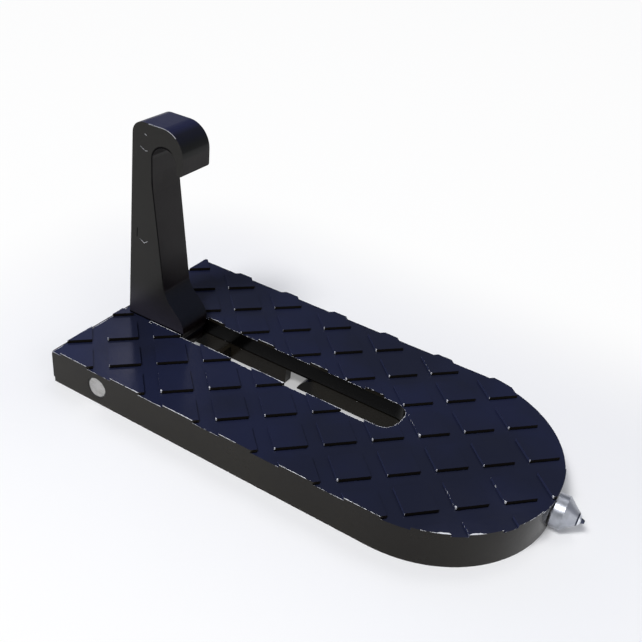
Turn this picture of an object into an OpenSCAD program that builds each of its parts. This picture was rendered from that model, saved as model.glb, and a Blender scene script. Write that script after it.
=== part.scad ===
// Car door step: a cast tread plate that hangs from a car's door striker by a folding hook,
// with a pointed window hammer screwed into its round end.
// Millimetres. X runs from the square end to the hammer, Y across, Z up from the underside.
// The modules measure X from the square end; the last lines move the origin to mid-length.

/* [Tread plate] */
// Length of the casting from its square end to its round end
plate_l = 150; // [140:1:165]
// Width of the casting, which is also the diameter of its round end
plate_w = 76; // [70:1:86]
// Thickness of the casting under the raised pads
plate_t = 11.2; // [11.2:0.2:14]

/* [Raised pads] */
// Side of one square pad
pad_side = 9.5; // [7:0.5:11]
// Height of the pads above the tread
pad_h = 0.9; // [0.5:0.1:1.6]
// Half of the diagonal distance between two neighbouring pads
pad_step = 10.03; // [9.5:0.01:12]
// Place along X of the pad that the pattern starts from
pad_x = 8.6; // [4:0.2:14]
// Place along Y of the pad that the pattern starts from
pad_y = -16.5; // [-20:0.5:-12]
// Furthest that a pad's centre may lie outside the outline before the pad is left out
pad_over = 4; // [2:0.5:6.5]

/* [Hook slot] */
// Width of the slot that the hook folds into
slot_w = 14; // [13.6:0.2:18]
// Gap between the hook's round foot and the slot's rear wall
slot_rear_gap = 0.6; // [0.4:0.1:1.5]
// Room left in the slot beyond the tip of the folded hook
slot_tip_room = 10.4; // [4:0.2:14]
// Corner radius at the outer end of the slot
slot_corner_r = 4.5; // [2:0.5:6]
// Ledge along the casting's parting line, half way down the slot's walls
slot_ledge = 0.3; // [0.2:0.1:0.5]
// Length of the notch through which a finger flips up the folded hook
finger_l = 12.5; // [10:0.5:16]
// Height of the finger notch above the underside
finger_h = 5.5; // [4:0.25:6]
// Distance from the slot's outer end to the finger notch
finger_from_end = 31.5; // [24:0.5:40]
// Corner radius at the top of the finger notch
finger_r = 0.8; // [0.5:0.1:2.5]
// Radius of the round lug that the finger notch leaves at its outer end
lug_r = 8.6; // [8:0.1:10]
// Depth of the lug's centre below the underside
lug_drop = 3; // [1:0.1:3.2]
// Height of the cross web that the folded hook's root comes to rest on
web_h = 4.8; // [3:0.2:5]
// Width of the flat on top of the cross web
web_flat = 1.4; // [0.6:0.2:2]
// Gap between the folded hook's root and the slope of the cross web
stop_gap = 0.4; // [0.3:0.05:0.8]

/* [Underside pockets] */
// Depth of the cast pockets in the underside
pocket_d = 6; // [4:0.25:7]
// Wall left around the outline of the plate
rim_t = 3.5; // [2.5:0.25:5]
// Wall left around the slot
slot_rim_t = 3; // [2:0.25:5]
// Thickness of the ribs between two pockets
rib_t = 2.4; // [1.5:0.1:4]
// Number of pockets on each side of the slot, ahead of the round end
pocket_n = 4; // [2:1:6]
// Corner radius of the pockets
pocket_r = 2.5; // [1:0.5:4]
// Length of the solid block that carries the hinge pin
pin_block_l = 31; // [25:0.5:34]

/* [Hinge] */
// Distance from the square end to the hinge pin
hinge_x = 17.9; // [17:0.1:24]
// Height of the hinge pin above the underside
hinge_z = 6; // [5.6:0.1:6.4]
// Diameter of the hinge pin
pin_d = 7.2; // [5:0.1:8]
// Depth of the pin's ends below the sides of the plate
pin_sunk = 0.1; // [0:0.05:0.5]
// Running gap between the pin and the hook, per side
pin_gap = 0.06; // [0.02:0.01:0.1]

/* [Hook] */
// Thickness of the hook across the slot
arm_t = 12.4; // [9:0.2:12.6]
// Height of the hook's crown above the hinge pin
arm_h = 73; // [66:0.5:76]
// Height of the round foot about the hinge pin above the underside of the plate
foot_rise = 0.3; // [0.2:0.05:0.8]
// Distance of the heel's back face behind the hinge pin
heel_back = 15.5; // [13:0.1:16.5]
// Gap between the heel and the tread that it leans on
heel_gap = 0.3; // [0.2:0.05:0.6]
// Distance of the shank's back face behind the hinge pin, at the crown
crown_back = 12.6; // [11:0.1:14]
// Reach of the hook's lip in front of the hinge pin
lip_reach = 6.1; // [5.4:0.1:8]
// Thickness of the lip at its tip
lip_t = 2.25; // [1.5:0.05:3.5]
// Drop of the lip's tip below the crown
lip_drop = 12.9; // [10:0.1:18]
// Radius of the round throat that takes the striker's bar
throat_r = 4.5; // [3.5:0.1:5]
// Metal between the throat and the crown
crown_t = 5.9; // [4:0.1:8]
// Radius of the crown at the back
crown_back_r = 4.2; // [2:0.2:6]
// Radius of the crown at the front
crown_front_r = 7.4; // [4:0.2:8]
// Height of the shank's straight front below the throat's centre
shank_front_drop = 8; // [4:0.5:14]
// Radius of the blend from that straight front to the slanted one below it
shank_blend_r = 60; // [20:5:60]
// Distance of the shank's front face in front of the hinge pin, where the root starts
root_front = -0.5; // [-2:0.1:1]
// Height above the hinge pin at which the root starts to flare
root_top = 18.6; // [16:0.2:24]
// Radius of the bulge at the front of the root
root_r = 7; // [5:0.2:8]
// Height of the bulge's centre above the hinge pin
root_z = 6.5; // [5.6:0.1:8]
// Distance of the bulge's front in front of the hinge pin
root_reach = 7.1; // [6:0.1:8]
// Radius of the hollow between the shank and the root
root_fillet_r = 8; // [4:0.5:12]

/* [Window hammer] */
// Diameter of the hammer's head
hammer_d = 10; // [7:0.2:11]
// Length of the cylindrical part of the head
hammer_l = 2.9; // [1.5:0.1:6]
// Length of the cone from the head to the insert
hammer_cone_l = 4.3; // [3:0.1:7]
// Diameter at the small end of the cone
hammer_nose_d = 2.8; // [2:0.1:4]
// Gap between the head and its seat on the round end
hammer_gap = 0.4; // [0.2:0.05:0.8]
// Diameter of the hammer's threaded stud
stud_d = 5; // [3:0.1:6]
// Length of the stud inside the plate
stud_l = 14; // [8:0.5:18]
// Radial room around the stud in its hole, taken up by the thread
stud_room = 0.05; // [0.02:0.01:0.2]
// Depth of the flat seat milled into the round end under the head
seat_depth = 0.3; // [0.3:0.05:1]
// Room around the head in its seat
seat_room = 0.4; // [0.2:0.1:1]
// Diameter of the hard insert
insert_d = 1.9; // [1.2:0.1:2.4]
// Radial room around the insert in the nose, filled with braze
insert_room = 0.02; // [0.01:0.01:0.1]
// Length of the insert that stands out of the nose
insert_out = 1.2; // [0.8:0.1:2.5]
// Depth of the insert in the nose
insert_in = 2.6; // [1.5:0.1:4]
// Diameter of the insert's blunt tip
insert_tip_d = 0.9; // [0.4:0.1:1.2]

/* [End pad] */
// Thickness of the rubber pad glued to the square end
end_pad_t = 1; // [0.6:0.1:3]
// Margin between the rubber pad and the edges of the square end
end_pad_margin = 0.5; // [0:0.1:3]
// Corner radius of the rubber pad
end_pad_r = 1; // [0.5:0.1:3]

/* [Hidden] */
$fn = 96;
// Overshoot of a cutting body past the face that it cuts
cut = 1;
// Amount by which a fillet's arc crosses its two lines, so that it ends on them at a clear angle
fillet_cross = 0.01;

// Centre of the round end
end_x = plate_l - plate_w / 2;
mid_z = plate_t / 2;
foot_r = hinge_z - foot_rise;
slot_x0 = hinge_x - foot_r - slot_rear_gap;
slot_x1 = hinge_x + arm_h + slot_tip_room;
// Plane that the hammer's head is screwed up to, and the ends of the cylinder and of the cone
seat_x = plate_l - seat_depth;
head_x = seat_x + hammer_gap;
cone_x = head_x + hammer_l;
nose_x = cone_x + hammer_cone_l;
// Middle of the whole length, over which the frame's origin lies
frame_x = (nose_x + insert_out - end_pad_t) / 2;

// The hook's points below are measured from the hinge pin, X outwards and Z up
heel_z = plate_t + heel_gap - hinge_z;
throat = [lip_reach - lip_t - throat_r, arm_h - crown_t - throat_r];
tip_z = arm_h - lip_drop;
root_c = [root_reach - root_r, root_z];
shank_top = [throat[0] - throat_r, throat[1] - shank_front_drop];
// Slope of the shank's front face, as X over Z
shank_slope = (root_front - shank_top[0]) / (root_top - shank_top[1]);
// X plus Z along the root's front, which slopes at 45 degrees
root_sum = root_c[0] + root_c[1] + root_r * sqrt(2);
root_corner_z = (root_sum - root_front + shank_slope * root_top) / (1 + shank_slope);
root_corner = [root_sum - root_corner_z, root_corner_z];

// Outline of the plate, drawn in by inset all round
module plate_outline(inset) {
    translate([inset, -plate_w / 2 + inset])
        square([end_x - inset, plate_w - 2 * inset]);
    translate([end_x, 0]) circle(r = plate_w / 2 - inset);
}

// Rectangle from corner a to corner b with corners of radius r
module round_rect(a, b, r) {
    translate([a[0] + r, a[1]]) square([b[0] - a[0] - 2 * r, b[1] - a[1]]);
    translate([a[0], a[1] + r]) square([b[0] - a[0], b[1] - a[1] - 2 * r]);
    for (x = [a[0] + r, b[0] - r], y = [a[1] + r, b[1] - r])
        translate([x, y]) circle(r = r);
}

// Quarter of a disc of radius r about c, which starts at the given angle
module quarter(c, r, angle) {
    translate(c) rotate(angle) intersection() {
        circle(r = r);
        square(r);
    }
}

// Hollow corner between the lines that leave point p at angles a and b, filled to radius r
module fillet(p, a, b, r) {
    reach = r / tan((b - a) / 2);
    c = p + r / sin((b - a) / 2) * [cos((a + b) / 2), sin((a + b) / 2)];
    difference() {
        polygon([p, p + reach * [cos(a), sin(a)], c, p + reach * [cos(b), sin(b)]]);
        translate(c) circle(r = r + fillet_cross);
    }
}

// Profiles drawn in X and Z, each extruded to width w across the middle of Y
module across(w) {
    translate([0, w / 2, 0]) rotate([90, 0, 0])
        for (i = [0 : $children - 1]) linear_extrude(w) children(i);
}

// Round bar from x0 to x1 along X, on the hammer's axis
module hammer_bar(x0, x1, d0, d1) {
    translate([x0, 0, mid_z]) rotate([0, 90, 0]) cylinder(h = x1 - x0, d1 = d0, d2 = d1);
}

// Plan of the slot, drawn in by inset except at its rear wall
module slot_plan(inset) {
    half = slot_w / 2 - inset;
    round_rect([slot_x0, -half], [slot_x1 - inset, half], slot_corner_r - inset);
    translate([slot_x0, -half]) square([slot_corner_r, 2 * half]);
}

// Distance of point p outside the plate's outline, negative within it
function outside(p) = max(-p[0], norm([max(p[0] - end_x, 0), p[1]]) - plate_w / 2);

// Squares at 45 degrees in staggered rows, cut off at the outline, the slot and the heel's seat
module pads() {
    columns = ceil(plate_l / pad_step) + 1;
    rows = ceil(plate_w / pad_step) + 1;
    translate([0, 0, plate_t - cut]) linear_extrude(cut + pad_h) difference() {
        intersection() {
            plate_outline(0);
            for (i = [-1 : columns], j = [-rows : rows]) {
                c = [pad_x + i * pad_step, pad_y + j * pad_step];
                if ((i + j) % 2 == 0 && outside(c) < pad_over)
                    translate(c) rotate(45) square(pad_side, center = true);
            }
        }
        slot_plan(0);
        translate([-cut, -slot_w / 2]) square([hinge_x + cut, slot_w]);
    }
}

// Pockets in the underside on one side of the slot; the last one follows the round end
module pockets() {
    y0 = slot_w / 2 + slot_rim_t;
    y1 = plate_w / 2 - rim_t;
    pitch = (end_x - pin_block_l) / pocket_n;
    for (i = [0 : pocket_n - 1])
        round_rect([pin_block_l + i * pitch, y0],
                   [pin_block_l + (i + 1) * pitch - rib_t, y1], pocket_r);
    intersection() {
        translate([end_x, 0]) circle(r = plate_w / 2 - rim_t);
        round_rect([end_x, y0 - slot_rim_t / 2], [plate_l, plate_w], pocket_r);
    }
}

// Notch in the slot's walls, open to the underside and to the pockets behind them
module finger_notch() {
    x1 = slot_x1 - finger_from_end;
    across(slot_w + 2 * (slot_rim_t + cut)) difference() {
        round_rect([x1 - finger_l, -finger_h], [x1, finger_h], finger_r);
        translate([x1, -lug_drop]) circle(r = lug_r);
    }
}

// Wedge across the slot that stops the folded hook: its slope lies under the hook's root
module cross_web() {
    x0 = hinge_x + root_sum - hinge_z + stop_gap * sqrt(2);
    x1 = x0 + web_h + web_flat;
    across(slot_w) polygon([[x0, 0], [x1, 0], [x1, web_h], [x0 + web_h, web_h]]);
}

module step_plate() {
    color([0.13, 0.14, 0.22]) difference() {
        union() {
            difference() {
                linear_extrude(plate_t) plate_outline(0);
                translate([0, 0, mid_z]) linear_extrude(plate_t) slot_plan(0);
                translate([0, 0, -cut]) linear_extrude(plate_t) slot_plan(slot_ledge);
                for (side = [0, 1])
                    mirror([0, side, 0])
                        translate([0, 0, -cut]) linear_extrude(pocket_d + cut) pockets();
                finger_notch();
            }
            pads();
            cross_web();
        }
        translate([hinge_x, 0, hinge_z]) rotate([90, 0, 0])
            cylinder(d = pin_d, h = plate_w + 2 * cut, center = true);
        hammer_bar(seat_x - stud_l - cut, plate_l + cut, stud_d + 2 * stud_room, stud_d + 2 * stud_room);
        hammer_bar(seat_x, plate_l + cut, hammer_d + 2 * seat_room, hammer_d + 2 * seat_room);
    }
}

// Rubber pad that keeps the square end off the car's paint
module end_pad() {
    half = plate_w / 2 - end_pad_margin;
    color([0.06, 0.06, 0.06])
        translate([-end_pad_t, 0, end_pad_margin]) rotate([90, 0, 90]) linear_extrude(end_pad_t)
            round_rect([-half, 0], [half, plate_t - 2 * end_pad_margin], end_pad_r);
}

// Side view of the heel, the tapered shank and the lip, with straight sides
module hook_body() {
    polygon([
        [-foot_r, 0],
        [-foot_r, heel_z],
        [-heel_back, heel_z],
        [-crown_back, arm_h - crown_back_r],
        [-crown_back + crown_back_r, arm_h],
        [lip_reach - crown_front_r, arm_h],
        [lip_reach, arm_h - crown_front_r],
        [lip_reach, tip_z + lip_t / 2],
        [lip_reach - lip_t, tip_z + lip_t / 2],
        [lip_reach - lip_t, throat[1]],
        [throat[0] - throat_r, throat[1]],
        shank_top,
        root_corner,
        root_c + root_r * [cos(45), sin(45)],
        [root_c[0] + root_r / 2, 0],
    ]);
}

// Hook with a round foot, a heel that leans on the tread, a flared root and a half-round throat
module hook_arm() {
    color([0.12, 0.12, 0.13]) translate([hinge_x, 0, hinge_z]) difference() {
        across(arm_t) {
            hook_body();
            quarter([-crown_back + crown_back_r, arm_h - crown_back_r], crown_back_r, 90);
            quarter([lip_reach - crown_front_r, arm_h - crown_front_r], crown_front_r, 0);
            translate([lip_reach - lip_t / 2, tip_z + lip_t / 2]) circle(d = lip_t);
            fillet(root_corner, -45, 90 + atan(-shank_slope), root_fillet_r);
            fillet(shank_top, -90 + atan(-shank_slope), 90, shank_blend_r);
            quarter(root_c, root_r, 0);
            quarter(root_c, root_r, -90);
            circle(r = foot_r);
        }
        across(arm_t + 2 * cut) translate(throat) circle(r = throat_r);
        rotate([90, 0, 0]) cylinder(r = pin_d / 2 + pin_gap, h = arm_t + 2 * cut, center = true);
    }
}

module hinge_pin() {
    color([0.75, 0.75, 0.73]) translate([hinge_x, 0, hinge_z]) rotate([90, 0, 0])
        cylinder(d = pin_d, h = plate_w - 2 * pin_sunk, center = true);
}

// Screwed-in head with a conical nose
module hammer_head() {
    hole_d = insert_d + 2 * insert_room;
    color([0.72, 0.74, 0.78]) difference() {
        union() {
            hammer_bar(seat_x - stud_l, head_x + cut, stud_d, stud_d);
            hammer_bar(head_x, cone_x, hammer_d, hammer_d);
            hammer_bar(cone_x, nose_x, hammer_d, hammer_nose_d);
        }
        hammer_bar(nose_x - insert_in, nose_x + cut, hole_d, hole_d);
    }
}

// Hard point brazed into the hammer's nose
module hammer_insert() {
    color([0.25, 0.26, 0.3]) {
        hammer_bar(nose_x - insert_in, nose_x, insert_d, insert_d);
        hammer_bar(nose_x, nose_x + insert_out, insert_d, insert_tip_d);
    }
}

translate([-frame_x, 0, 0]) {
    step_plate();
    end_pad();
    hook_arm();
    hinge_pin();
    hammer_head();
    hammer_insert();
}
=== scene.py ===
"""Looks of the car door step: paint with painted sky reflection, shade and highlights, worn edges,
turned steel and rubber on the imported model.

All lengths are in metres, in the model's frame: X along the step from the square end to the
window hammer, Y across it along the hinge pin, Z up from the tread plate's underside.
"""

import logging
import math
from dataclasses import dataclass, field
from enum import Enum
from functools import reduce
from typing import Optional, Union

import bpy
import numpy as np
from mathutils import Matrix, Vector


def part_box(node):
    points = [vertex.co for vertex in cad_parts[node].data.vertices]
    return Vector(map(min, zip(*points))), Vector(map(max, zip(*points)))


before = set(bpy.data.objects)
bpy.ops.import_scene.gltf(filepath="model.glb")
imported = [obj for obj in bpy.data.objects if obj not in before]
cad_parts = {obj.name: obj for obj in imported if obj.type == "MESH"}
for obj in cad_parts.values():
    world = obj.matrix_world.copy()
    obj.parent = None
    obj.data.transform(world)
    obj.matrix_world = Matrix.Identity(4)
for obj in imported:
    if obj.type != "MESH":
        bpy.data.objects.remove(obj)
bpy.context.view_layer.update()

LOG = logging.getLogger("door_step")
MM = 0.001
FACING = 0.5  # least part of its normal along an axis for a face that counts as facing that way
Colour = tuple[float, float, float]
Pair = tuple[float, float]
Shade = Union[Colour, "Tint"]
Amount = Union["Field", float]


def srgb(red: int, green: int, blue: int) -> Colour:
    """Turns a colour of 0 to 255 a channel into the linear values that a shader takes.

    Args:
        red: Red channel as seen on a screen.
        green: Green channel.
        blue: Blue channel.

    Returns:
        The linear red, green and blue.
    """
    seen = np.array([red, green, blue]) / 255.0
    linear = np.where(seen <= 0.04045, seen / 12.92, ((seen + 0.055) / 1.055) ** 2.4)
    return tuple(float(channel) for channel in linear)


class Op(Enum):
    """Operations of a Math node that the finishes use."""

    ADD = "ADD"
    SUBTRACT = "SUBTRACT"
    MULTIPLY = "MULTIPLY"
    DIVIDE = "DIVIDE"
    MINIMUM = "MINIMUM"
    MAXIMUM = "MAXIMUM"
    ABSOLUTE = "ABSOLUTE"
    SQRT = "SQRT"
    ROUND = "ROUND"
    LESS = "LESS_THAN"
    GREATER = "GREATER_THAN"


class Axis(Enum):
    """The three axes of a vector."""

    X = 0
    Y = 1
    Z = 2


@dataclass(frozen=True)
class Field:
    """A number that a material works out at each point; its operators add Math nodes."""

    book: "NodeBook"
    socket: bpy.types.NodeSocket

    def _math(self, op: Op, *others: Amount) -> "Field":
        """Adds one Math node that takes this field first.

        Args:
            op: The operation.
            others: Its further operands, fields or plain numbers.

        Returns:
            The node's result.
        """
        return self.book.math(op, self, *others)

    def __add__(self, other: Amount) -> "Field":
        """Sum."""
        return self._math(Op.ADD, other)

    def __sub__(self, other: Amount) -> "Field":
        """Difference."""
        return self._math(Op.SUBTRACT, other)

    def __mul__(self, other: Amount) -> "Field":
        """Product."""
        return self._math(Op.MULTIPLY, other)

    def __truediv__(self, other: Amount) -> "Field":
        """Quotient."""
        return self._math(Op.DIVIDE, other)

    def __neg__(self) -> "Field":
        """Negative."""
        return self._math(Op.MULTIPLY, -1.0)

    def size(self) -> "Field":
        """Absolute value."""
        return self._math(Op.ABSOLUTE)

    def root(self) -> "Field":
        """Square root."""
        return self._math(Op.SQRT)

    def nearest(self) -> "Field":
        """Nearest whole number."""
        return self._math(Op.ROUND)

    def least(self, other: Amount) -> "Field":
        """The smaller of the two."""
        return self._math(Op.MINIMUM, other)

    def most(self, other: Amount) -> "Field":
        """The larger of the two."""
        return self._math(Op.MAXIMUM, other)

    def over(self, other: Amount) -> "Field":
        """1 where this is greater than other, else 0."""
        return self._math(Op.GREATER, other)

    def under(self, other: Amount) -> "Field":
        """1 where this is less than other, else 0."""
        return self._math(Op.LESS, other)

    def ramp(self, start: float, end: float) -> "Field":
        """Smooth step from 0 at start to 1 at end, which may lie below start."""
        return self.book.ramp(self, start, end)

    def past(self, place: float, soft: float) -> "Field":
        """Smooth step from 0 before a place to 1 past it, or back down if soft is negative."""
        return self.ramp(place - soft, place + soft)


def hypot(a: Field, b: Field) -> Field:
    """Length of the vector (a, b)."""
    return (a * a + b * b).root()


@dataclass(frozen=True)
class Grain:
    """A noise: the width of its largest patches, its octaves, its offset and its stretch."""

    size: float
    detail: float = 2.0
    shift: float = 0.0
    stretch: tuple[float, float, float] = (1.0, 1.0, 1.0)


@dataclass(frozen=True)
class Speckle:
    """Round specks: the mean distance of their points, their radius and the share that shows."""

    spacing: float
    radius: float
    share: float


class NodeBook:
    """Writes the nodes of one material, or of the world."""

    SHIFT_WAY = (1.0, 0.7, 0.3)
    BEVEL_SAMPLES = 8

    def __init__(self, name: str, world: Optional[bpy.types.World] = None) -> None:
        """Starts an empty material, or the world's own nodes.

        Args:
            name: Name of the material.
            world: The world, if its nodes are to be written.
        """
        self.owner = world or bpy.data.materials.new(name)
        self.owner.use_nodes = True
        self.nodes = self.owner.node_tree.nodes
        self.links = self.owner.node_tree.links
        self.shader = self.nodes["Background" if world else "Principled BSDF"]
        self._coordinates = self.nodes.new("ShaderNodeTexCoord")

    def put(self, socket: bpy.types.NodeSocket, value: Amount) -> None:
        """Links a field to a socket, or sets the socket to a number.

        Args:
            socket: An input of a node.
            value: The field or number.
        """
        if isinstance(value, Field):
            self.links.new(value.socket, socket)
        else:
            socket.default_value = value

    def math(self, op: Op, *values: Amount) -> Field:
        """Adds a Math node.

        Args:
            op: The operation.
            values: Its operands, fields or plain numbers.

        Returns:
            The node's result.
        """
        node = self.nodes.new("ShaderNodeMath")
        node.operation = op.value
        for socket, value in zip(node.inputs, values):
            self.put(socket, value)
        return Field(self, node.outputs[0])

    def ramp(self, value: Field, start: float, end: float) -> Field:
        """Adds a smooth step.

        Args:
            value: The field that is stepped.
            start: Where the step is 0.
            end: Where it is 1, which may lie below start.

        Returns:
            The step, from 0 to 1.
        """
        node = self.nodes.new("ShaderNodeMapRange")
        node.interpolation_type = "SMOOTHSTEP"
        rising = start < end
        node.inputs["From Min"].default_value = min(start, end)
        node.inputs["From Max"].default_value = max(start, end)
        node.inputs["To Min"].default_value = 0.0 if rising else 1.0
        node.inputs["To Max"].default_value = 1.0 if rising else 0.0
        self.put(node.inputs["Value"], value)
        return Field(self, node.outputs["Result"])

    def axes(self, output: str) -> tuple[Field, Field, Field]:
        """Splits one output of the Texture Coordinate node.

        Args:
            output: Object, for the place, or Normal, for the way that the surface faces.

        Returns:
            Its X, Y and Z.
        """
        split = self.nodes.new("ShaderNodeSeparateXYZ")
        self.links.new(self._coordinates.outputs[output], split.inputs[0])
        return tuple(Field(self, split.outputs[axis.value]) for axis in Axis)

    def vector(self, x: Amount, y: Amount, z: Amount) -> bpy.types.NodeSocket:
        """Joins three fields or numbers to a vector.

        Args:
            x: First part.
            y: Second part.
            z: Third part.

        Returns:
            The vector's socket.
        """
        join = self.nodes.new("ShaderNodeCombineXYZ")
        for socket, value in zip(join.inputs, (x, y, z)):
            self.put(socket, value)
        return join.outputs[0]

    def noise(self, grain: Grain) -> Field:
        """Adds Perlin noise on Object coordinates.

        Args:
            grain: Its size, octaves, offset and stretch.

        Returns:
            The noise, about 0.5 on average.
        """
        place = self.nodes.new("ShaderNodeMapping")
        place.inputs["Location"].default_value = [grain.shift * part for part in self.SHIFT_WAY]
        place.inputs["Scale"].default_value = [1.0 / factor for factor in grain.stretch]
        self.links.new(self._coordinates.outputs["Object"], place.inputs["Vector"])
        node = self.nodes.new("ShaderNodeTexNoise")
        node.inputs["Scale"].default_value = 1.0 / grain.size
        node.inputs["Detail"].default_value = grain.detail
        self.links.new(place.outputs[0], node.inputs["Vector"])
        return Field(self, node.outputs[0])

    def chance(self, *cell: Field) -> Field:
        """Adds a random number from 0 to 1 that stays the same over each cell.

        Args:
            cell: Up to three whole numbers that name the cell.

        Returns:
            The random number.
        """
        padded = list(cell) + [0.0] * (3 - len(cell))
        node = self.nodes.new("ShaderNodeTexWhiteNoise")
        self.links.new(self.vector(*padded), node.inputs["Vector"])
        return Field(self, node.outputs["Value"])

    def specks(self, speckle: Speckle) -> Field:
        """Adds round specks at scattered points.

        Args:
            speckle: Their spacing, radius and share.

        Returns:
            1 on a speck, 0 elsewhere.
        """
        node = self.nodes.new("ShaderNodeTexVoronoi")
        node.inputs["Scale"].default_value = 1.0 / speckle.spacing
        self.links.new(self._coordinates.outputs["Object"], node.inputs["Vector"])
        split = self.nodes.new("ShaderNodeSeparateXYZ")
        self.links.new(node.outputs["Color"], split.inputs[0])
        near = Field(self, node.outputs["Distance"]).under(speckle.radius / speckle.spacing)
        return near * Field(self, split.outputs[0]).under(speckle.share)

    def worn(self, radius: float, start: float, end: float) -> Field:
        """Finds sharp edges: there the rounded normal leans away from the surface's own.

        Args:
            radius: Reach of the rounding from an edge.
            start: Lean, as 1 minus the cosine, at which wear starts.
            end: Lean at which it is full.

        Returns:
            0 on flat faces, rising to 1 at the edges.
        """
        rounded = self.nodes.new("ShaderNodeBevel")
        rounded.samples = self.BEVEL_SAMPLES
        rounded.inputs["Radius"].default_value = radius
        own = self.nodes.new("ShaderNodeNewGeometry")
        dot = self.nodes.new("ShaderNodeVectorMath")
        dot.operation = "DOT_PRODUCT"
        self.links.new(rounded.outputs[0], dot.inputs[0])
        self.links.new(own.outputs["Normal"], dot.inputs[1])
        lean = -(Field(self, dot.outputs["Value"])) + 1.0
        return lean.ramp(start, end)

    def blend(self, low: Shade, high: Shade, share: Amount) -> "Tint":
        """Mixes two colours.

        Args:
            low: Colour where share is 0.
            high: Colour where share is 1.
            share: Share of high.

        Returns:
            The mixed colour.
        """
        node = self.nodes.new("ShaderNodeMix")
        node.data_type = "RGBA"
        self.put(node.inputs["Factor"], share)
        for socket, colour in ((node.inputs[6], low), (node.inputs[7], high)):
            if isinstance(colour, Tint):
                self.links.new(colour.socket, socket)
            else:
                socket.default_value = (*colour, 1.0)
        return Tint(node.outputs[2])

    def backdrop(self, glow: bpy.types.ShaderNode, share: Field, output: str) -> None:
        """Shows a glow in place of the shader to the rays that see a background, and to no others.

        Args:
            glow: Node of the glow.
            share: Share of the glow at each point.
            output: Name of the output node.
        """
        rays = self.nodes.new("ShaderNodeLightPath")
        seen = Field(self, rays.outputs["Is Camera Ray"])
        for kind in ("Is Glossy Ray", "Is Transmission Ray"):
            seen = seen.most(Field(self, rays.outputs[kind]))
        mix = self.nodes.new("ShaderNodeMixShader")
        self.put(mix.inputs[0], seen * share)
        self.links.new(self.shader.outputs[0], mix.inputs[1])
        self.links.new(glow.outputs[0], mix.inputs[2])
        self.links.new(mix.outputs[0], self.nodes[output].inputs["Surface"])

    def bump(self, height: Field, depth: float) -> None:
        """Raises the surface in the shading only.

        Args:
            height: Height at each point, about 0 to 1.
            depth: What a height of 1 stands for.
        """
        node = self.nodes.new("ShaderNodeBump")
        node.inputs["Distance"].default_value = depth
        node.inputs["Strength"].default_value = 1.0
        self.links.new(height.socket, node.inputs["Height"])
        self.links.new(node.outputs[0], self.shader.inputs["Normal"])

    def finish(self, colour: Shade, roughness: Amount,
               metallic: Amount = 0.0, gloss: float = 0.5) -> bpy.types.Material:
        """Connects the shader's main inputs.

        Args:
            colour: Base colour.
            roughness: Roughness.
            metallic: Share of bare metal.
            gloss: Strength of a non-metal's reflection, 0.5 for a common varnish.

        Returns:
            The finished material.
        """
        base = self.shader.inputs["Base Color"]
        if isinstance(colour, Tint):
            self.links.new(colour.socket, base)
        else:
            base.default_value = (*colour, 1.0)
        self.put(self.shader.inputs["Roughness"], roughness)
        self.put(self.shader.inputs["Metallic"], metallic)
        self.shader.inputs["Specular IOR Level"].default_value = gloss
        return self.owner


@dataclass(frozen=True)
class Tint:
    """A colour that a material works out at each point."""

    socket: bpy.types.NodeSocket


@dataclass(frozen=True)
class StepShape:
    """Sizes of the step that the finishes follow, measured in the model's frame."""

    square_end: float = -78.75 * MM
    round_centre: float = 33.25 * MM
    half_width: float = 38 * MM
    tread: float = 11.2 * MM
    pad_top: float = 12.1 * MM
    mid_height: float = 5.6 * MM
    slot_half: float = 7 * MM
    slot_start: float = -67.15 * MM
    slot_end: float = 22.55 * MM
    slot_corner: float = 4.5 * MM
    pad_side: float = 9.5 * MM
    pad_pitch: float = 10.03 * math.sqrt(2) * MM
    pad_x: float = (8.6 - 78.75) * MM
    pad_y: float = -16.5 * MM
    hinge_x: float = -60.85 * MM
    hinge_z: float = 6.0 * MM

    def outline_gap(self, x: Field, y: Field) -> Field:
        """Distance in from the plate's outline: a rectangle that ends in a half round.

        Args:
            x: Place along the step.
            y: Place across it.

        Returns:
            The half width less the distance from the middle line, or from the round end's centre,
            or the distance from the square end if that is less.
        """
        ahead = (x - self.round_centre).most(0.0)
        side = -hypot(ahead, y) + self.half_width
        return side.least(x - self.square_end)

    def slot_gap(self, x: Field, y: Field) -> Field:
        """Distance out from the slot's walls, negative inside it: a box with rounded outer corners.

        Measured from the box that is smaller than the slot by the corners' radius: the hypotenuse
        of what sticks out of it, or the larger of the two parts inside it, less that radius.

        Args:
            x: Place along the step.
            y: Place across it.

        Returns:
            The distance.
        """
        across = y.size() - (self.slot_half - self.slot_corner)
        along = x - (self.slot_end - self.slot_corner)
        from_box = hypot(across.most(0.0), along.most(0.0)) + across.most(along).least(0.0)
        return (from_box - self.slot_corner).most(-x + self.slot_start)

    def pad_cell(self, x: Field, y: Field) -> tuple[Field, Field, Field, Field]:
        """Place within the pad pattern.

        The plan is turned by 45 degrees, where the pads' centres form a square grid, and each
        coordinate has its nearest multiple of the pitch taken off.

        Args:
            x: Place along the step.
            y: Place across it.

        Returns:
            The two coordinates from the nearest pad's centre, and that pad's two whole numbers.
        """
        from_x = x - self.pad_x
        from_y = y - self.pad_y
        turned = ((from_x + from_y) * math.sqrt(0.5), (from_y - from_x) * math.sqrt(0.5))
        cells = tuple((part / self.pad_pitch).nearest() for part in turned)
        local = tuple(part - cell * self.pad_pitch for part, cell in zip(turned, cells))
        return local[0], local[1], cells[0], cells[1]


@dataclass(frozen=True)
class Wear:
    """A worn line that breaks up: its width is this width times the noise less this level."""

    width: float
    level: float

    def reach(self, noise: Field) -> Field:
        """Width of the line at each point."""
        return (noise - self.level) * self.width


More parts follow.
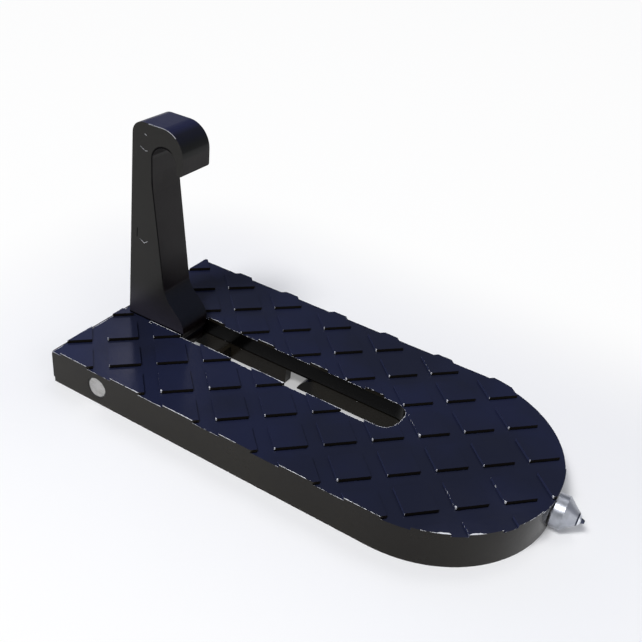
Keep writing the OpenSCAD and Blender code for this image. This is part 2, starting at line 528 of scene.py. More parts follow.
@dataclass(frozen=True)
class CastPaint:
    """Glossy charcoal paint on the cast plate, with a painted navy sky reflection where it faces
    up, painted shade in the slot and at the pads' feet, and chips mixed with painted highlights at
    its edges.
    """

    shape: StepShape = field(default_factory=StepShape)
    # Navy of the top and its cloudy alternative: a painted reflection of a blue sky on the upward
    # faces; the paint itself is the charcoal of the walls
    sky_navy: Colour = srgb(29, 33, 56)
    sky_navy_alt: Colour = srgb(27, 30, 46)
    # Lighter navy on the pads' low walls towards -X: a painted highlight where the light falls on
    # them
    lit_pad_wall: Colour = srgb(54, 59, 88)
    # Near black strip at the foot of the pads' walls: painted shade
    foot_shade: Colour = srgb(4, 5, 10)
    wall: Colour = srgb(29, 26, 20)
    wall_alt: Colour = srgb(23, 20, 16)
    # Near black of the slot's walls above the parting line and round the lugs: painted shade
    slot_shade: Colour = srgb(3, 3, 3)
    metal: Colour = srgb(232, 233, 236)
    roughness: float = 0.14
    smear_dull: float = 0.1
    chip_dull: float = 0.2
    chip_metal: float = 0.3
    chip_sink: float = 0.8
    pit_share: float = 0.3
    gloss: float = 0.18
    grain_depth: float = 0.02 * MM
    cloud: Grain = Grain(30 * MM, 3.0)
    cloud_span: Pair = (0.35, 0.7)
    smear: Grain = Grain(14 * MM, 4.0, 1.3)
    smear_span: Pair = (0.3, 0.8)
    peel: Grain = Grain(1.6 * MM, 3.0, 5.0)
    pits: Grain = Grain(0.5 * MM, 2.0, 2.0)
    patches: Grain = Grain(7 * MM, 2.0, 7.7)
    ragged: Grain = Grain(0.8 * MM, 3.0, 3.1)
    foot_run: Grain = Grain(1.1 * MM, 2.0, 8.2)
    specks: Speckle = Speckle(11 * MM, 0.12 * MM, 0.3)
    # Lines along the top edges: partly worn paint, partly painted edge highlight
    rim_wear_and_glint: Wear = Wear(0.45 * MM, 0.95)
    near_wear_and_glint: Wear = Wear(0.6 * MM, 0.75)
    far_wear: Wear = Wear(0.96 * MM, 0.44)
    pad_wear_and_glint: Wear = Wear(0.4 * MM, 0.6)
    # Bright broken line along the slot's parting ledge: a painted highlight where its edge catches
    # the light
    ledge_glint_line: Wear = Wear(1.6 * MM, 0.7)
    patch_share: float = 1.2
    ledge_reach: float = 0.4 * MM
    corner_glint_size: float = 0.68 * MM
    corner_least: float = 0.15
    corner_squeeze: float = 0.6
    edge_luck: float = 0.8
    round_start: float = 6 * MM
    round_relief: float = 0.22
    chip_depth: float = 0.5 * MM
    chip_taper: float = 0.4
    chip_fill: float = 0.4
    big_chips: tuple[Pair, ...] = ((51.3 * MM, 1.9 * MM), (58.2 * MM, 1.7 * MM))
    slot_dot: Pair = (-14.5 * MM, 0.55 * MM)
    # Span along X of the painted shade on the slot's walls round the round lugs
    lug: Pair = (-17.1 * MM, -10.5 * MM)
    lug_soft: Pair = (0.4 * MM, 2 * MM)
    parting_soft: float = 0.2 * MM
    slot_skin: float = 0.1 * MM
    slot_drop: float = 0.3 * MM
    up_turn: Pair = (0.4, 0.9)
    wall_turn: float = -0.3
    wall_rise: float = 0.02 * MM
    foot_width: float = 0.32 * MM
    foot_ends: float = 0.8 * MM
    foot_height: float = 0.05 * MM
    skin: float = 0.06 * MM
    pad_rise: float = 0.2 * MM

    def rim_chips_and_glints(self, book: NodeBook, x: Field, y: Field, ragged: Field) -> Field:
        """Thin broken line of bare metal along the top edge of the outline and of the slot, partly
        chipped paint and partly a painted edge highlight.

        It is fainter along the round end, which has two longer chips on its near side, each given
        by its place and half length. The slot's near edge has the line all along, with one round
        chip that is given by its place and radius.

        Args:
            book: The material's nodes.
            x: Place along the step.
            y: Place across it.
            ragged: Fine noise.

        Returns:
            1 on bare metal.
        """
        shape = self.shape
        patchy = book.noise(self.patches)
        rim = shape.outline_gap(x, y)
        on_round = x.ramp(shape.round_centre - self.round_start, shape.round_centre)
        luck = ragged + patchy * self.patch_share - on_round * self.round_relief
        line = rim.under(self.rim_wear_and_glint.reach(luck))
        for place, reach in self.big_chips:
            inward = (x - place).size().ramp(reach, reach * self.chip_taper) * self.chip_depth
            line = line.most(rim.under(inward * (ragged + self.chip_fill)) * y.under(0.0))
        slot = shape.slot_gap(x, y).size()
        near_edge = slot.under(self.near_wear_and_glint.reach(ragged + patchy)) * y.under(0.0)
        far_edge = slot.under(self.far_wear.reach(ragged)) * y.over(0.0)
        place, radius = self.slot_dot
        dot = hypot(x - place, y + shape.slot_half).under(radius)
        return line.most(near_edge).most(far_edge).most(dot)

    def pad_glints_and_chips(self, book: NodeBook, x: Field, y: Field, ragged: Field) -> Field:
        """Painted glints on the pads, drawn as bare metal: a dot at the corner towards -Y, and on
        some a line on the left edge that is partly a chip and partly a painted edge highlight.

        Args:
            book: The material's nodes.
            x: Place along the step.
            y: Place across it.
            ragged: Fine noise.

        Returns:
            1 on bare metal.
        """
        a, b, cell_a, cell_b = self.shape.pad_cell(x, y)
        half = self.shape.pad_side / 2
        luck = book.chance(cell_a, cell_b)
        # painted highlight: a glint dot at each pad's corner towards -Y
        dot = hypot(a + half, (b + half) * self.corner_squeeze)
        dot = dot.under(ragged * (luck + self.corner_least) * self.corner_glint_size)
        edge = (a + half).size().under(self.pad_wear_and_glint.reach(ragged)) * b.size().under(half)
        return dot.most(edge * luck.over(self.edge_luck))

    def chips_and_glints(self, book: NodeBook, x: Field, y: Field, z: Field) -> Field:
        """Where the paint is chipped, with painted highlights: the edges of the top, the pads'
        corner glints, the slot's ledge, which is a painted highlight, and specks.

        Args:
            book: The material's nodes.
            x: Place along the step.
            y: Place across it.
            z: Height.

        Returns:
            1 on bare metal and painted highlights, 0 on paint.
        """
        shape = self.shape
        ragged = book.noise(self.ragged)
        above = z.over(shape.tread - self.skin)
        faces_up = book.axes("Normal")[Axis.Z.value].over(FACING) * above
        on_edges = faces_up.most(z.over(shape.pad_top - self.skin * 1.5))
        on_pads = z.over(shape.tread + self.pad_rise)
        # painted highlight along the slot's parting ledge
        ledge = (z - shape.mid_height).size().under(self.ledge_glint_line.reach(ragged))
        ledge_glint = ledge * shape.slot_gap(x, y).size().under(self.ledge_reach)
        specks = book.specks(self.specks) * above
        rims = self.rim_chips_and_glints(book, x, y, ragged) * on_edges
        return rims.most(self.pad_glints_and_chips(book, x, y, ragged) * on_pads).most(ledge_glint).most(specks)

    def pad_foot_shade(self, book: NodeBook, x: Field, y: Field, z: Field) -> Field:
        """Painted shade: a dark uneven strip at the foot of each pad's wall towards +X and -Y.

        Args:
            book: The material's nodes.
            x: Place along the step.
            y: Place across it.
            z: Height.

        Returns:
            1 on the strip.
        """
        a, b, _, _ = self.shape.pad_cell(x, y)
        half = self.shape.pad_side / 2
        run = book.noise(self.foot_run)
        out = -b - half
        beside = out.over(0.0) * out.under((run + 0.5) * self.foot_width)
        beside = beside * a.size().under((run - 0.5) * self.foot_ends + half)
        return beside * (z - self.shape.tread).size().under(self.foot_height)

    def paint(self, book: NodeBook, x: Field, y: Field, z: Field) -> "Tint":
        """Colour of the paint.

        Where it faces up, outside the slot, it carries a painted navy sky reflection, and the pads'
        low walls towards -X get a lighter painted highlight. The slot's walls carry painted shade,
        almost black, above the parting line and on the round lugs.

        Args:
            book: The material's nodes.
            x: Place along the step.
            y: Place across it.
            z: Height.

        Returns:
            The colour.
        """
        shape = self.shape
        lean_x, _, lean_z = book.axes("Normal")
        cloud = book.noise(self.cloud).ramp(*self.cloud_span)
        low = z.under(shape.tread - self.slot_drop)
        in_slot = shape.slot_gap(x, y).under(self.slot_skin) * low
        # painted shade: the slot's walls above the parting line and on the round lugs are near
        # black
        upper = z.past(shape.mid_height, self.parting_soft)
        (start, end), (start_soft, end_soft) = self.lug, self.lug_soft
        lug = x.ramp(start - start_soft, start) * x.ramp(end, end - end_soft)
        wall = book.blend(self.wall, self.wall_alt, cloud)
        wall = book.blend(wall, self.slot_shade, in_slot * upper.most(lug))
        # painted sky reflection: navy on what faces up, outside the slot
        upward = lean_z.ramp(*self.up_turn) * (-in_slot + 1.0)
        paint = book.blend(wall, book.blend(self.sky_navy, self.sky_navy_alt, cloud), upward)
        # painted highlight on the pads' low walls towards -X
        lit_pad_wall = lean_x.under(self.wall_turn) * z.over(shape.tread + self.wall_rise)
        paint = book.blend(paint, self.lit_pad_wall, lit_pad_wall * (-upward + 1.0))
        # painted shade at the foot of the pads' walls
        return book.blend(paint, self.foot_shade, self.pad_foot_shade(book, x, y, z))

    def material(self) -> bpy.types.Material:
        """Makes the paint, with a soft peel and fine pits in its gloss.

        Returns:
            The material.
        """
        book = NodeBook("cast_plate_paint")
        x, y, z = book.axes("Object")
        # bare metal here also carries the painted edge, corner and ledge highlights
        bare = self.chips_and_glints(book, x, y, z)
        colour = book.blend(self.paint(book, x, y, z), self.metal, bare)
        smear = book.noise(self.smear)
        dull = smear.ramp(*self.smear_span) * self.smear_dull
        roughness = dull + self.roughness + bare * self.chip_dull
        peel = book.noise(self.peel)
        pits = book.noise(self.pits)
        book.bump(peel + pits * self.pit_share - bare * self.chip_sink, self.grain_depth)
        return book.finish(colour, roughness, bare * self.chip_metal, self.gloss)


@dataclass(frozen=True)
class Stroke:
    """One short straight mark on the hook's side face, given by its two ends from the hinge pin."""

    start: Pair
    end: Pair
    width: float

    def gap(self, x: Field, z: Field) -> Field:
        """Distance from the stroke: from its line, or beyond its ends if that is more.

        Args:
            x: Place in front of the hinge pin.
            z: Height above the hinge pin.

        Returns:
            The distance.
        """
        run, rise = self.end[0] - self.start[0], self.end[1] - self.start[1]
        length = math.hypot(run, rise)
        along = ((x - self.start[0]) * run + (z - self.start[1]) * rise) / length
        beside = ((x - self.start[0]) * -rise + (z - self.start[1]) * run) / length
        outside = (-along).most(along - length)
        return beside.size().most(outside)


@dataclass(frozen=True)
class HookPaint:
    """Semi-gloss black paint on the hook, with a painted navy sky reflection on top, painted shade
    on its front, crown and flare, and small scratches on the side.

    All its places are measured from the hinge pin.
    """

    shape: StepShape = field(default_factory=StepShape)
    side: Colour = srgb(29, 28, 26)
    side_low: Colour = srgb(48, 46, 56)
    # Darker front: painted shade. Navy top: a painted sky reflection. Crown, brow and flare:
    # painted shade that darkens that navy
    front_shade: Colour = srgb(15, 8, 9)
    sky_navy: Colour = srgb(22, 25, 54)
    crown_shade: Colour = srgb(9, 11, 26)
    brow_shade: Colour = srgb(3, 5, 6)
    flare_shade: Colour = srgb(3, 6, 19)
    # Black of the painted dark reflection along the front edge, of the painted shade at the foot
    # and of one dark mark
    shade_and_mark: Colour = srgb(3, 3, 4)
    metal: Colour = srgb(190, 192, 196)
    roughness: float = 0.28
    smear_dull: float = 0.16
    curve_dull: float = 0.34
    bare_metal: float = 0.5
    bare_sink: float = 0.8
    gloss: float = 0.17
    grain_depth: float = 0.02 * MM
    cloud: Grain = Grain(22 * MM, 3.0, 4.0)
    smear: Grain = Grain(11 * MM, 4.0, 1.9)
    smear_span: Pair = (0.3, 0.8)
    peel: Grain = Grain(1.3 * MM, 3.0, 6.0)
    ragged: Grain = Grain(0.7 * MM, 3.0, 9.0)
    side_change: Pair = (8 * MM, 26 * MM)
    cloud_rise: float = 10 * MM
    top_change: Pair = (35 * MM, 60 * MM)
    front_turn: Pair = (0.3, 0.8)
    top_turn: Pair = (0.05, 0.4)
    crown_turn: Pair = (0.8, 0.98)
    brow_turn: Pair = (0.75, 0.35)
    brow_ahead: float = 0.3
    curve_start: Pair = (0.1, 0.35)
    curve_end: Pair = (0.99, 0.96)
    throat: Pair = (-0.65 * MM, 62.6 * MM)
    throat_radius: float = 4.5 * MM
    shank_top: Pair = (-5.15 * MM, 54.6 * MM)
    shank_slope: float = 0.129
    root_top: float = 20 * MM
    root_soft: float = 3 * MM
    lip_top: float = 65.6 * MM
    lip_soft: float = 0.6 * MM
    # Height below which the side gets painted shade, where the hook meets the tread
    foot_shade: float = 5.9 * MM
    foot_soft: float = -0.2 * MM
    front_reflection_width: float = 0.42 * MM
    front_reflection_soft: Pair = (1.6, 0.6)
    front_reflection_fade: Pair = (3 * MM, 1 * MM)
    edge_reach: float = 0.4 * MM
    edge_turn: Pair = (0.02, 0.1)
    # Light line on the crown's near edge: partly chipped paint, partly a painted edge highlight
    chip_glint_top: float = 71.2 * MM
    chip_glint_span: Pair = (-6.5 * MM, 4.5 * MM)
    chip_glint_level: float = 0.36
    rub_start: float = 64 * MM
    rub_level: float = 0.72
    rub_share: float = 0.6
    scratches: tuple[Stroke, ...] = (
        Stroke((-9.6 * MM, 65.4 * MM), (-8.2 * MM, 64.6 * MM), 0.14 * MM),
        Stroke((-8.0 * MM, 64.4 * MM), (-7.0 * MM, 64.6 * MM), 0.12 * MM),
        Stroke((-10.4 * MM, 34.6 * MM), (-8.8 * MM, 33.6 * MM), 0.16 * MM),
        Stroke((-8.8 * MM, 33.6 * MM), (-7.4 * MM, 34.6 * MM), 0.14 * MM),
        Stroke((-7.9 * MM, 69.6 * MM), (-7.2 * MM, 69.2 * MM), 0.13 * MM),
    )
    scratch_gain: float = 2.2
    scratch_level: float = 0.25
    scratch_share: float = 0.7
    dent: Stroke = Stroke((-11.4 * MM, 38.0 * MM), (-11.6 * MM, 35.2 * MM), 0.24 * MM)
    dent_share: float = 0.8

    def paint(self, book: NodeBook, x: Field, z: Field) -> "Tint":
        """Colour of the paint.

        The sides are charcoal, bluer towards the tread. The front is darker with painted shade, and
        what faces up carries a painted navy sky reflection, darkened by painted shade on the
        crown's slope and almost to black on the flare and on the crown's front above the lip.

        Args:
            book: The material's nodes.
            x: Place in front of the hinge pin; not used.
            z: Height above the hinge pin.

        Returns:
            The colour.
        """
        lean_x, _, lean_z = book.axes("Normal")
        cloud = book.noise(self.cloud)
        height = (z + cloud * self.cloud_rise).ramp(*self.side_change)
        side = book.blend(self.side_low, self.side, height)
        # painted shade on the front; painted sky reflection and painted shade on what faces up
        forward = book.blend(side, self.front_shade, lean_x.ramp(*self.front_turn))
        crown_shade = book.blend(self.crown_shade, self.sky_navy, lean_z.ramp(*self.crown_turn))
        upper = book.blend(self.flare_shade, crown_shade, z.ramp(*self.top_change))
        paint = book.blend(forward, upper, lean_z.ramp(*self.top_turn))
        brow_shade = z.past(self.lip_top, self.lip_soft) * lean_z.ramp(*self.brow_turn)
        return book.blend(paint, self.brow_shade, brow_shade * lean_x.over(self.brow_ahead))

    def front_dark_reflection(self, x: Field, z: Field) -> Field:
        """Painted dark reflection: a dark line on the side face along its front edge.

        The edge is the throat's circle above the throat's centre. Below it the edge stands at the
        throat's wall, and from the shank's top it leans forward by the shank's slope.

        Args:
            x: Place in front of the hinge pin.
            z: Height above the hinge pin.

        Returns:
            1 on the line, falling to 0 beside it.
        """
        circle = (hypot(x - self.throat[0], z - self.throat[1]) - self.throat_radius).size()
        fallen = (-z + self.shank_top[1]).most(0.0)
        straight = (fallen * self.shank_slope + self.shank_top[0] - x).size()
        above = z.over(self.throat[1])
        gap = circle * above + straight * (-above + 1.0)
        ends = z.past(self.root_top, self.root_soft) * x.ramp(*self.front_reflection_fade)
        outer, inner = (self.front_reflection_width * share for share in self.front_reflection_soft)
        return gap.ramp(outer, inner) * ends

    def shade_and_mark_lines(self, x: Field, z: Field, lean_y: Field) -> Field:
        """Where the paint is black: the painted dark reflection along the front edge, painted shade
        at the foot where the hook meets the tread, and one short dark mark.

        Args:
            x: Place in front of the hinge pin.
            z: Height above the hinge pin.
            lean_y: How far the surface faces along Y.

        Returns:
            1 on thick paint.
        """
        # painted shade at the foot, where the hook meets the tread
        foot_shade = z.past(self.foot_shade, self.foot_soft)
        dent = self.dent.gap(x, z).under(self.dent.width) * lean_y.under(-FACING)
        edges = self.front_dark_reflection(x, z).most(foot_shade) * lean_y.size().over(FACING)
        return edges.most(dent * self.dent_share)

    def bare(self, book: NodeBook, x: Field, y: Field, z: Field, lean_y: Field) -> Field:
        """Where the paint is off: scratches, the crown's edge on the near side, which is partly a
        painted edge highlight, and rubbed edges.

        Args:
            book: The material's nodes.
            x: Place in front of the hinge pin.
            y: Place along the hinge pin.
            z: Height above the hinge pin.
            lean_y: How far the surface faces along Y.

        Returns:
            1 on bare metal.
        """
        ragged = book.noise(self.ragged)
        lines = []
        for scratch in self.scratches:
            wear = Wear(scratch.width * self.scratch_gain, self.scratch_level)
            lines.append(scratch.gap(x, z).under(wear.reach(ragged)))
        marks = reduce(Field.most, lines) * lean_y.under(-FACING) * self.scratch_share
        edge = book.worn(self.edge_reach, *self.edge_turn)
        start, end = self.chip_glint_span
        # crown's near edge: partly chipped paint, partly painted edge highlight
        near_crown = z.over(self.chip_glint_top) * x.over(start) * x.under(end) * y.under(0.0)
        chipped_glint = edge * ragged.over(self.chip_glint_level) * near_crown
        rubbed = edge * ragged.over(self.rub_level) * z.over(self.rub_start) * self.rub_share
        return marks.most(chipped_glint).most(rubbed)

    def material(self) -> bpy.types.Material:
        """Makes the paint, duller where the front is curved.

        Returns:
            The material.
        """
        book = NodeBook("hook_paint")
        x, y, z = book.axes("Object")
        lean_x, lean_y, _ = book.axes("Normal")
        from_x = x - self.shape.hinge_x
        from_z = z - self.shape.hinge_z
        # painted dark reflection, painted shade and one dark mark, made black and metallic so that
        # they reflect little
        shade_and_mark = self.shade_and_mark_lines(from_x, from_z, lean_y)
        bare = self.bare(book, from_x, y, from_z, lean_y)
        paint = book.blend(self.paint(book, from_x, from_z), self.shade_and_mark, shade_and_mark)
        colour = book.blend(paint, self.metal, bare)
        smear = book.noise(self.smear)
        peel = book.noise(self.peel)
        curved = lean_x.ramp(*self.curve_start) * lean_x.ramp(*self.curve_end)
        dull = smear.ramp(*self.smear_span) * self.smear_dull
        roughness = dull + curved * self.curve_dull + self.roughness
        book.bump(peel - bare * self.bare_sink - shade_and_mark, self.grain_depth)
        return book.finish(colour, roughness, (bare * self.bare_metal).most(shade_and_mark), self.gloss)


@dataclass(frozen=True)
class GroundSteel:
    """End of a steel pin, ground flush with the plate; paint laps over its edge all round."""

    shape: StepShape = field(default_factory=StepShape)
    colour: Colour = srgb(186, 185, 183)
    stain: Colour = srgb(150, 148, 144)
    lap: Colour = srgb(19, 18, 14)
    bare_radius: float = 3.2 * MM
    marks: Grain = Grain(0.16 * MM, 3.0, stretch=(14.0, 1.0, 1.0))
    cloud: Grain = Grain(2.4 * MM, 3.0, 2.0)
    stain_mix: Pair = (0.7, 0.3)
    stain_span: Pair = (0.45, 0.75)
    edge_wander: float = 0.9 * MM
    edge_soft: float = 0.08 * MM
    grain_depth: float = 0.02 * MM
    roughness: float = 0.5
    mark_dull: float = 0.2
    metallic: float = 0.75

    def material(self) -> bpy.types.Material:
        """Makes the steel, with fine straight grinding marks along X and a ragged edge of paint.

        Returns:
            The material.
        """
        book = NodeBook("ground_steel")
        x, _, z = book.axes("Object")
        marks = book.noise(self.marks)
        cloud = book.noise(self.cloud)
        mixed = cloud * self.stain_mix[0] + marks * self.stain_mix[1]
        steel = book.blend(self.colour, self.stain, mixed.ramp(*self.stain_span))
        wander = (cloud - 0.5) * self.edge_wander
        out = hypot(x - self.shape.hinge_x, z - self.shape.hinge_z) + wander
        lap = out.past(self.bare_radius, self.edge_soft)
        bare = -lap + 1.0
        book.bump(marks * bare + lap, self.grain_depth)
        colour = book.blend(steel, self.lap, lap)
        roughness = marks * self.mark_dull + self.roughness
        return book.finish(colour, roughness, bare * self.metallic)


@dataclass(frozen=True)
class TurnedZinc:
    """Turned and zinc plated steel of the window hammer, with a darker ring and a painted highlight
    ring round the seat of its point.
    """

    nose: float
    colour: Colour = srgb(176, 179, 187)
    dull: Colour = srgb(146, 149, 154)
    groove: Colour = srgb(120, 122, 128)
    seat: Colour = srgb(52, 56, 70)
    # Bright ring round the seat of the point: a painted highlight
    rim: Colour = srgb(236, 238, 244)
    rim_width: float = 0.4 * MM
    seat_width: float = 0.8 * MM
    ring: float = 0.16 * MM
    ring_wander: float = 0.2 * MM
    ring_depth: float = 0.004 * MM
    groove_span: Pair = (0.25, 0.0)
    groove_share: float = 0.25
    wander: Grain = Grain(4 * MM, 1.0)
    cloud: Grain = Grain(3.2 * MM, 2.0, 3.0)
    dull_span: Pair = (0.4, 0.8)
    nicks: Speckle = Speckle(1.6 * MM, 0.12 * MM, 0.3)
    nick_share: float = 0.8
    nick_sink: float = 2.0
    roughness: float = 0.36
    smear_span: Pair = (0.3, 0.8)
    smear_dull: float = 0.08

    def material(self) -> bpy.types.Material:
        """Makes the steel: rings left by the tool run round the hammer's axis, along X.

        Returns:
            The material.
        """
        book = NodeBook("turned_zinc")
        x, _, _ = book.axes("Object")
        wander = book.noise(self.wander)
        turn = (x + wander * self.ring_wander) / self.ring
        rings = (turn - turn.nearest()).size() * 2.0
        cloud = book.noise(self.cloud)
        colour = book.blend(self.colour, self.dull, cloud.ramp(*self.dull_span))
        nicks = book.specks(self.nicks)
        grooves = rings.ramp(*self.groove_span) * self.groove_share
        colour = book.blend(colour, self.groove, grooves.most(nicks * self.nick_share))
        from_nose = -x + self.nose
        colour = book.blend(colour, self.seat, from_nose.under(self.seat_width))
        # painted highlight ring round the seat of the point
        colour = book.blend(colour, self.rim, from_nose.under(self.rim_width))
        book.bump(rings - nicks * self.nick_sink, self.ring_depth)
        roughness = cloud.ramp(*self.smear_span) * self.smear_dull + self.roughness
        return book.finish(colour, roughness, 1.0)


@dataclass(frozen=True)
class HardMetal:
    """Dark hard metal of the hammer's point, with a painted highlight ring where it stands in the
    nose.
    """

    nose: float
    colour: Colour = srgb(70, 74, 92)
    glint: Colour = srgb(120, 124, 138)
    # Bright ring where the point stands in the nose: a painted highlight
    nose_glint: Colour = srgb(214, 217, 224)
    ring: float = 0.3 * MM
    grain: Grain = Grain(0.4 * MM, 3.0)
    glint_span: Pair = (0.5, 0.8)
    grain_depth: float = 0.02 * MM
    roughness: float = 0.25
    grain_dull: float = 0.2

    def material(self) -> bpy.types.Material:
        """Makes the metal, ground a little unevenly.

        Returns:
            The material.
        """
        book = NodeBook("hard_metal")
        x, _, _ = book.axes("Object")
        grain = book.noise(self.grain)
        colour = book.blend(self.colour, self.glint, grain.ramp(*self.glint_span))
        # painted highlight ring at the nose
        colour = book.blend(colour, self.nose_glint, x.under(self.nose + self.ring))
        book.bump(grain, self.grain_depth)
        return book.finish(colour, grain * self.grain_dull + self.roughness, 1.0)


@dataclass(frozen=True)
class PadRubber:
    """Matt black rubber of the end pad, with a fine moulded grain and a little dust."""

    colour: Colour = srgb(24, 24, 25)
    dust: Colour = srgb(58, 57, 55)
    grain: Grain = Grain(0.35 * MM, 2.0)
    cloud: Grain = Grain(12 * MM, 4.0, 2.0)
    cloud_height: float = 0.5
    grain_depth: float = 0.05 * MM
    dust_span: Pair = (0.5, 0.85)
    dust_share: float = 0.5
    roughness: float = 0.68
    cloud_dull: float = 0.15

    def material(self) -> bpy.types.Material:
        """Makes the rubber.

        Returns:
            The material.
        """
        book = NodeBook("pad_rubber")
        grain = book.noise(self.grain)
        cloud = book.noise(self.cloud)
        dusty = cloud.ramp(*self.dust_span) * self.dust_share
        colour = book.blend(self.colour, self.dust, dusty)
        book.bump(grain + cloud * self.cloud_height, self.grain_depth)
        return book.finish(colour, cloud * self.cloud_dull + self.roughness)


@dataclass
class PackedPiece:
    """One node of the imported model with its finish."""

    node: str
    finish: bpy.types.Material

    def dress(self) -> bpy.types.Object:
        """Gives the node its material.

        Returns:
            The node's object.
        """
        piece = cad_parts[self.node]
        piece.data.materials.clear()
        piece.data.materials.append(self.finish)
        LOG.info("%s: %s", self.node, self.finish.name)
        return piece


@dataclass
class TreadPlate:
    """The cast plate, its rubber pad and the pin that carries the hook."""

    paint: CastPaint = field(default_factory=CastPaint)
    rubber: PadRubber = field(default_factory=PadRubber)
    steel: GroundSteel = field(default_factory=GroundSteel)

    def build(self) -> list[bpy.types.Object]:
        """Dresses the plate's nodes.

        Returns:
            The dressed objects.
        """
        parts = [
            PackedPiece("step_plate", self.paint.material()),
            PackedPiece("end_pad", self.rubber.material()),
            PackedPiece("hinge_pin", self.steel.material()),
        ]
        return [part.dress() for part in parts]


@dataclass
class FoldingHook:
    """The hook that hangs on a door's striker."""

    paint: HookPaint = field(default_factory=HookPaint)

    def build(self) -> list[bpy.types.Object]:
        """Dresses the hook."""
        return [PackedPiece("hook_arm", self.paint.material()).dress()]


@dataclass
class WindowHammer:
    """The pointed hammer on the round end."""

    nose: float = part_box("hammer_head")[1][0]

    def build(self) -> list[bpy.types.Object]:
        """Dresses the hammer's nodes.

        Returns:
            The dressed objects.
        """
        parts = [
            PackedPiece("hammer_head", TurnedZinc(self.nose).material()),
            PackedPiece("hammer_insert", HardMetal(self.nose).material()),
        ]
        return [part.dress() for part in parts]


@dataclass(frozen=True)
class Lamp:
    """A square soft light that shines at a target."""

    name: str
    place: tuple[float, float, float]
    side: float
    power: float
    colour: Colour = (1.0, 1.0, 1.0)
    target: tuple[float, float, float] = (0.0, 0.0, 0.02)

    def build(self) -> bpy.types.Object:
        """Makes the light and turns it to its target.

        Returns:
            The light's object.
        """
        data = bpy.data.lights.new(self.name, "AREA")
        data.shape = "SQUARE"
        data.size = self.side
        data.energy = self.power
        data.color = self.colour
        lamp = bpy.data.objects.new(self.name, data)
        bpy.context.scene.collection.objects.link(lamp)
        aim = Vector(self.target) - Vector(self.place)
        turn = aim.to_track_quat("-Z", "Y").to_matrix()
        lamp.matrix_world = Matrix.Translation(self.place) @ turn.to_4x4()
        return lamp


@dataclass(frozen=True)
class Camera:
    """The photograph's camera, fitted to the step's edges."""

    place: tuple[float, float, float] = (84.943 * MM, -179.803 * MM, 164.507 * MM)
    right: tuple[float, float, float] = (0.85143, 0.51404, 0.10410)
    up: tuple[float, float, float] = (-0.35685, 0.42233, 0.83325)
    lens: float = 46.0
    sensor: float = 36.0
    clip_start: float = 0.01

    def build(self) -> bpy.types.Object:
        """Makes the camera; its third axis points back, across right and up.

        Returns:
            The camera's object.
        """
        data = bpy.data.cameras.new("camera")
        data.lens = self.lens
        data.sensor_width = self.sensor
        data.clip_start = self.clip_start
        camera = bpy.data.objects.new("camera", data)
        bpy.context.scene.collection.objects.link(camera)
        right = Vector(self.right).normalized()
        back = right.cross(Vector(self.up)).normalized()
        turn = Matrix((right, back.cross(right), back)).transposed()
        camera.matrix_world = Matrix.Translation(self.place) @ turn.to_4x4()
        bpy.context.scene.camera = camera
        return camera


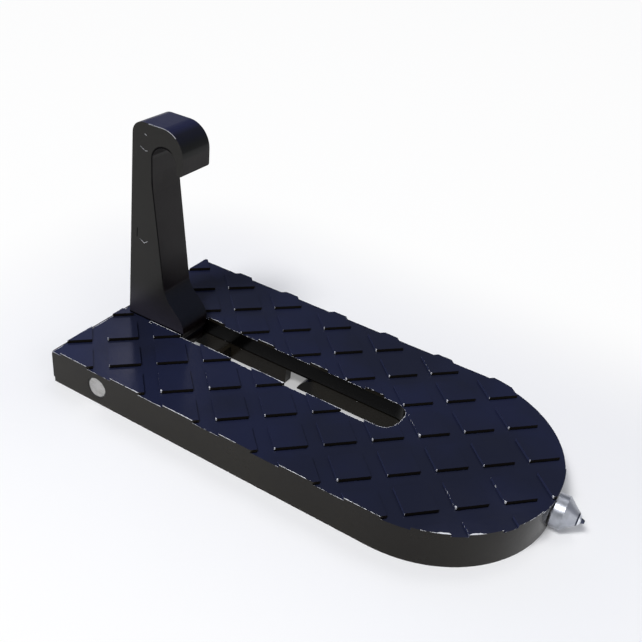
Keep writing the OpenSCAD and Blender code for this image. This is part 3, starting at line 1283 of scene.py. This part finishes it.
@dataclass(frozen=True)
class Studio:
    """Pale floor, soft lamps, plain world and the camera."""

    floor_side: float = 8.0
    floor_colour: Colour = (0.93, 0.93, 0.93)
    # Grey of the floor under the step: painted shade
    under_shade_colour: Colour = (0.45, 0.45, 0.45)
    under_centre: float = -22 * MM
    under_box: Pair = (52 * MM, 28 * MM)
    # More glow under the step than near it: painted light on the floor seen through the slot
    under_glow_light: float = 0.24
    glow_near: float = 0.1
    glow_far: float = 0.94
    glow_from: Pair = (79 * MM, 38 * MM)
    glow_reach: Pair = (4 * MM, 90 * MM)
    world_colour: Colour = (0.14, 0.15, 0.19)
    white_rise: Pair = (0.3, 0.12)
    lamps: tuple[Lamp, ...] = (
        Lamp("key", (-0.12, -0.55, 0.9), 0.28, 8.8),
        Lamp("back", (0.1, 0.55, 1.1), 0.5, 1.8),
        Lamp("fill", (0.9, -0.3, 0.45), 0.6, 1.2),
        Lamp("sheen", (-0.806, 0.589, 0.748), 0.4, 0.44, (0.42, 0.47, 1.0)),
        Lamp("gleam", (-0.707, 0.709, 0.749), 0.12, 0.04, (1.0, 0.9, 0.6)),
    )

    def floor_material(self) -> bpy.types.Material:
        """White floor that keeps its shadow and fades into a plain white background.

        The background is light that only camera, glossy and transmission rays see. It grows with
        the distance out of the box that the step stands in. Under the step the floor has painted
        shade, grey, and a little more of that light, a painted light on the floor seen through the
        slot.

        Returns:
            The material.
        """
        book = NodeBook("floor_white")
        x, y, _ = book.axes("Object")
        half_x, half_y = self.under_box
        # painted shade and painted light on the floor under the step
        under = (x - self.under_centre).size().under(half_x) * y.size().under(half_y)
        matt = book.finish(book.blend(self.floor_colour, self.under_shade_colour, under), 1.0, 0.0, 0.0)
        out_x, out_y = (part.size() - half for part, half in zip((x, y), self.glow_from))
        beyond = hypot(out_x.most(0.0), out_y.most(0.0))
        away = beyond.ramp(*self.glow_reach) * (self.glow_far - self.glow_near) + self.glow_near
        away = away + under * (self.under_glow_light - self.glow_near)
        book.backdrop(book.nodes.new("ShaderNodeEmission"), away, "Material Output")
        return matt

    def build_floor(self) -> bpy.types.Object:
        """Makes the floor, one square on the plane that the step stands on.

        Returns:
            The floor's object.
        """
        half = self.floor_side / 2
        corners = [(-half, -half, 0), (half, -half, 0), (half, half, 0), (-half, half, 0)]
        mesh = bpy.data.meshes.new("floor")
        mesh.from_pydata(corners, [], [(0, 1, 2, 3)])
        mesh.materials.append(self.floor_material())
        floor = bpy.data.objects.new("floor", mesh)
        bpy.context.scene.collection.objects.link(floor)
        return floor

    def build_world(self) -> None:
        """Sets the plain light that comes from all round, with white up to the horizon."""
        world = bpy.data.worlds.new("studio")
        book = NodeBook("studio", world)
        book.shader.inputs["Color"].default_value = (*self.world_colour, 1.0)
        book.shader.inputs["Strength"].default_value = 1.0
        white = book.nodes.new("ShaderNodeBackground")
        white.inputs["Color"].default_value = (1.0, 1.0, 1.0, 1.0)
        rise = book.axes("Object")[Axis.Z.value]
        book.backdrop(white, rise.ramp(*self.white_rise), "World Output")
        bpy.context.scene.world = world

    def build(self) -> None:
        """Sets up the whole studio."""
        self.build_floor()
        self.build_world()
        for lamp in self.lamps:
            lamp.build()
        Camera().build()
        bpy.context.scene.view_settings.view_transform = "Standard"


def main() -> None:
    """Builds the studio and dresses each sub-assembly."""
    logging.basicConfig(level=logging.INFO, format="%(name)s %(message)s")
    Studio().build()
    for assembly in (TreadPlate(), FoldingHook(), WindowHammer()):
        pieces = assembly.build()
        LOG.info("%s has %d pieces", type(assembly).__name__, len(pieces))


if __name__ == "__main__":
    main()
